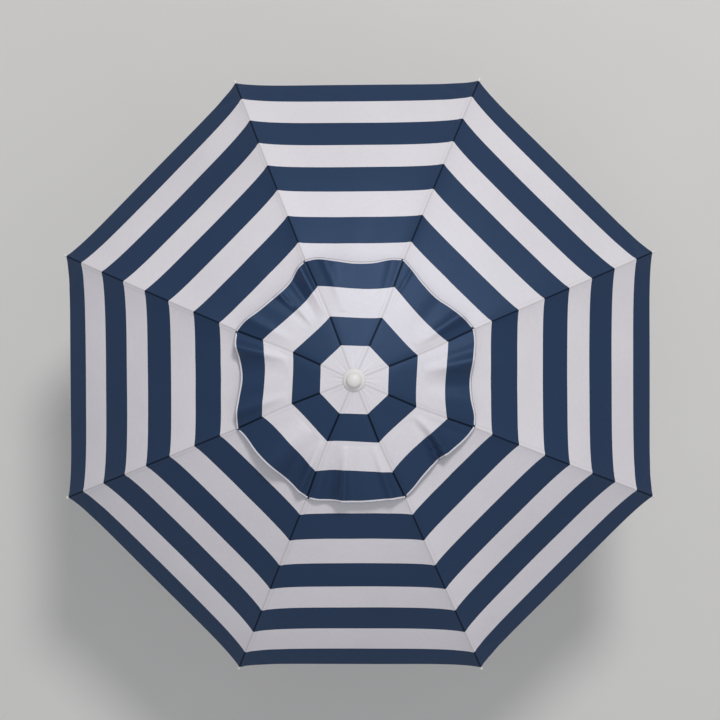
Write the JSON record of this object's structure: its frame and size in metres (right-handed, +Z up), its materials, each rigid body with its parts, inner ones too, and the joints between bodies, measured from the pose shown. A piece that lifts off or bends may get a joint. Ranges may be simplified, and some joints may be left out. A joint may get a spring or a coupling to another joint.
{
  "type": "golf umbrella",
  "caption": "Large vented golf umbrella with a striped double canopy, knob finial, hinged ribs and stretchers, sliding runner and straight grip.",
  "frame": {"origin": "centre of the grip's flat butt face", "axes": "+Z up along the shaft, towards the finial; +X and +Y each cross the middle of a gore"},
  "size_m": [1.3084, 1.3084, 1.0047],
  "materials": {
    "white_plastic": "satin moulded plastic, slightly warm white",
    "white_paint": "satin white powder coat",
    "steel": "zinc plated, satin",
    "navy_grip": "matte soft-touch grip",
    "main_cloth": "woven cloth in navy and white bands parallel to the hem",
    "vent_cloth": "woven cloth in white and navy bands, hem bound in white tape"
  },
  "bodies": {
    "root": {"butt_cap": "white_plastic", "grip": "navy_grip", "grip_collar": "white_plastic", "shaft": "white_paint", "crown": "white_plastic", "crown_wire": "steel", "apex_patch": "vent_cloth", "finial_collar": "white_plastic", "finial_knob": "white_plastic"},
    "runner": {"runner": "white_plastic"},
    "top_catch": {"top_catch": "steel"},
    "bottom_catch": {"bottom_catch": "steel"},
    "rib_1": {"rib_1": "white_paint", "rib_tip_1": "white_plastic", "rib_bracket_1": "steel", "main_panel_1": "main_cloth", "vent_panel_1": "vent_cloth"},
    "stretcher_1": {"stretcher_1": "white_paint"},
    "rib_2": {"rib_2": "white_paint", "rib_tip_2": "white_plastic", "rib_bracket_2": "steel", "main_panel_2": "main_cloth", "vent_panel_2": "vent_cloth"},
    "stretcher_2": {"stretcher_2": "white_paint"},
    "rib_3": {"rib_3": "white_paint", "rib_tip_3": "white_plastic", "rib_bracket_3": "steel", "main_panel_3": "main_cloth", "vent_panel_3": "vent_cloth"},
    "stretcher_3": {"stretcher_3": "white_paint"},
    "rib_4": {"rib_4": "white_paint", "rib_tip_4": "white_plastic", "rib_bracket_4": "steel", "main_panel_4": "main_cloth", "vent_panel_4": "vent_cloth"},
    "stretcher_4": {"stretcher_4": "white_paint"},
    "rib_5": {"rib_5": "white_paint", "rib_tip_5": "white_plastic", "rib_bracket_5": "steel", "main_panel_5": "main_cloth", "vent_panel_5": "vent_cloth"},
    "stretcher_5": {"stretcher_5": "white_paint"},
    "rib_6": {"rib_6": "white_paint", "rib_tip_6": "white_plastic", "rib_bracket_6": "steel", "main_panel_6": "main_cloth", "vent_panel_6": "vent_cloth"},
    "stretcher_6": {"stretcher_6": "white_paint"},
    "rib_7": {"rib_7": "white_paint", "rib_tip_7": "white_plastic", "rib_bracket_7": "steel", "main_panel_7": "main_cloth", "vent_panel_7": "vent_cloth"},
    "stretcher_7": {"stretcher_7": "white_paint"},
    "rib_8": {"rib_8": "white_paint", "rib_tip_8": "white_plastic", "rib_bracket_8": "steel", "main_panel_8": "main_cloth", "vent_panel_8": "vent_cloth"},
    "stretcher_8": {"stretcher_8": "white_paint"}
  },
  "joints": [
    {"name": "runner_slide", "type": "slide", "parent": "root", "child": "runner", "axis": [0, 0, -1], "range_m": [0, 0.45455]},
    {"name": "top_catch_press", "type": "slide", "parent": "root", "child": "top_catch", "axis": [-1, 0, 0], "range_m": [0, 0.0028], "stiffness_N_per_m": 600},
    {"name": "bottom_catch_press", "type": "slide", "parent": "root", "child": "bottom_catch", "axis": [-1, 0, 0], "range_m": [0, 0.0028], "stiffness_N_per_m": 600},
    {"name": "rib_1_hinge", "type": "hinge", "parent": "root", "child": "rib_1", "pos_m": [0.01846, 0.00765, 0.97447], "axis": [-0.3827, 0.9239, 0], "range_deg": [0, 65.5], "deforming": ["main_panel_1", "vent_panel_1"]},
    {"name": "stretcher_1_hinge", "type": "hinge", "parent": "rib_1", "child": "stretcher_1", "pos_m": [0.30693, 0.12713, 0.87735], "axis": [-0.3827, 0.9239, 0], "range_deg": [-131, 0]},
    {"name": "rib_2_hinge", "type": "hinge", "parent": "root", "child": "rib_2", "pos_m": [0.00765, 0.01846, 0.97447], "axis": [-0.9239, 0.3827, 0], "range_deg": [0, 65.5], "deforming": ["main_panel_2", "vent_panel_2"]},
    {"name": "stretcher_2_hinge", "type": "hinge", "parent": "rib_2", "child": "stretcher_2", "pos_m": [0.12713, 0.30693, 0.87735], "axis": [-0.9239, 0.3827, 0], "range_deg": [-131, 0]},
    {"name": "rib_3_hinge", "type": "hinge", "parent": "root", "child": "rib_3", "pos_m": [-0.00765, 0.01846, 0.97447], "axis": [-0.9239, -0.3827, 0], "range_deg": [0, 65.5], "deforming": ["main_panel_3", "vent_panel_3"]},
    {"name": "stretcher_3_hinge", "type": "hinge", "parent": "rib_3", "child": "stretcher_3", "pos_m": [-0.12713, 0.30693, 0.87735], "axis": [-0.9239, -0.3827, 0], "range_deg": [-131, 0]},
    {"name": "rib_4_hinge", "type": "hinge", "parent": "root", "child": "rib_4", "pos_m": [-0.01846, 0.00765, 0.97447], "axis": [-0.3827, -0.9239, 0], "range_deg": [0, 65.5], "deforming": ["main_panel_4", "vent_panel_4"]},
    {"name": "stretcher_4_hinge", "type": "hinge", "parent": "rib_4", "child": "stretcher_4", "pos_m": [-0.30693, 0.12713, 0.87735], "axis": [-0.3827, -0.9239, 0], "range_deg": [-131, 0]},
    {"name": "rib_5_hinge", "type": "hinge", "parent": "root", "child": "rib_5", "pos_m": [-0.01846, -0.00765, 0.97447], "axis": [0.3827, -0.9239, 0], "range_deg": [0, 65.5], "deforming": ["main_panel_5", "vent_panel_5"]},
    {"name": "stretcher_5_hinge", "type": "hinge", "parent": "rib_5", "child": "stretcher_5", "pos_m": [-0.30693, -0.12713, 0.87735], "axis": [0.3827, -0.9239, 0], "range_deg": [-131, 0]},
    {"name": "rib_6_hinge", "type": "hinge", "parent": "root", "child": "rib_6", "pos_m": [-0.00765, -0.01846, 0.97447], "axis": [0.9239, -0.3827, 0], "range_deg": [0, 65.5], "deforming": ["main_panel_6", "vent_panel_6"]},
    {"name": "stretcher_6_hinge", "type": "hinge", "parent": "rib_6", "child": "stretcher_6", "pos_m": [-0.12713, -0.30693, 0.87735], "axis": [0.9239, -0.3827, 0], "range_deg": [-131, 0]},
    {"name": "rib_7_hinge", "type": "hinge", "parent": "root", "child": "rib_7", "pos_m": [0.00765, -0.01846, 0.97447], "axis": [0.9239, 0.3827, 0], "range_deg": [0, 65.5], "deforming": ["main_panel_7", "vent_panel_7"]},
    {"name": "stretcher_7_hinge", "type": "hinge", "parent": "rib_7", "child": "stretcher_7", "pos_m": [0.12713, -0.30693, 0.87735], "axis": [0.9239, 0.3827, 0], "range_deg": [-131, 0]},
    {"name": "rib_8_hinge", "type": "hinge", "parent": "root", "child": "rib_8", "pos_m": [0.01846, -0.00765, 0.97447], "axis": [0.3827, 0.9239, 0], "range_deg": [0, 65.5], "deforming": ["main_panel_8", "vent_panel_8"]},
    {"name": "stretcher_8_hinge", "type": "hinge", "parent": "rib_8", "child": "stretcher_8", "pos_m": [0.30693, -0.12713, 0.87735], "axis": [0.3827, 0.9239, 0], "range_deg": [-131, 0]}
  ],
  "couplings": [
    {"joint": "rib_1_hinge", "follows": "runner_slide", "rad_per_m": 2.515},
    {"joint": "stretcher_1_hinge", "follows": "runner_slide", "rad_per_m": -5.03},
    {"joint": "rib_2_hinge", "follows": "runner_slide", "rad_per_m": 2.515},
    {"joint": "stretcher_2_hinge", "follows": "runner_slide", "rad_per_m": -5.03},
    {"joint": "rib_3_hinge", "follows": "runner_slide", "rad_per_m": 2.515},
    {"joint": "stretcher_3_hinge", "follows": "runner_slide", "rad_per_m": -5.03},
    {"joint": "rib_4_hinge", "follows": "runner_slide", "rad_per_m": 2.515},
    {"joint": "stretcher_4_hinge", "follows": "runner_slide", "rad_per_m": -5.03},
    {"joint": "rib_5_hinge", "follows": "runner_slide", "rad_per_m": 2.515},
    {"joint": "stretcher_5_hinge", "follows": "runner_slide", "rad_per_m": -5.03},
    {"joint": "rib_6_hinge", "follows": "runner_slide", "rad_per_m": 2.515},
    {"joint": "stretcher_6_hinge", "follows": "runner_slide", "rad_per_m": -5.03},
    {"joint": "rib_7_hinge", "follows": "runner_slide", "rad_per_m": 2.515},
    {"joint": "stretcher_7_hinge", "follows": "runner_slide", "rad_per_m": -5.03},
    {"joint": "rib_8_hinge", "follows": "runner_slide", "rad_per_m": 2.515},
    {"joint": "stretcher_8_hinge", "follows": "runner_slide", "rad_per_m": -5.03}
  ]
}
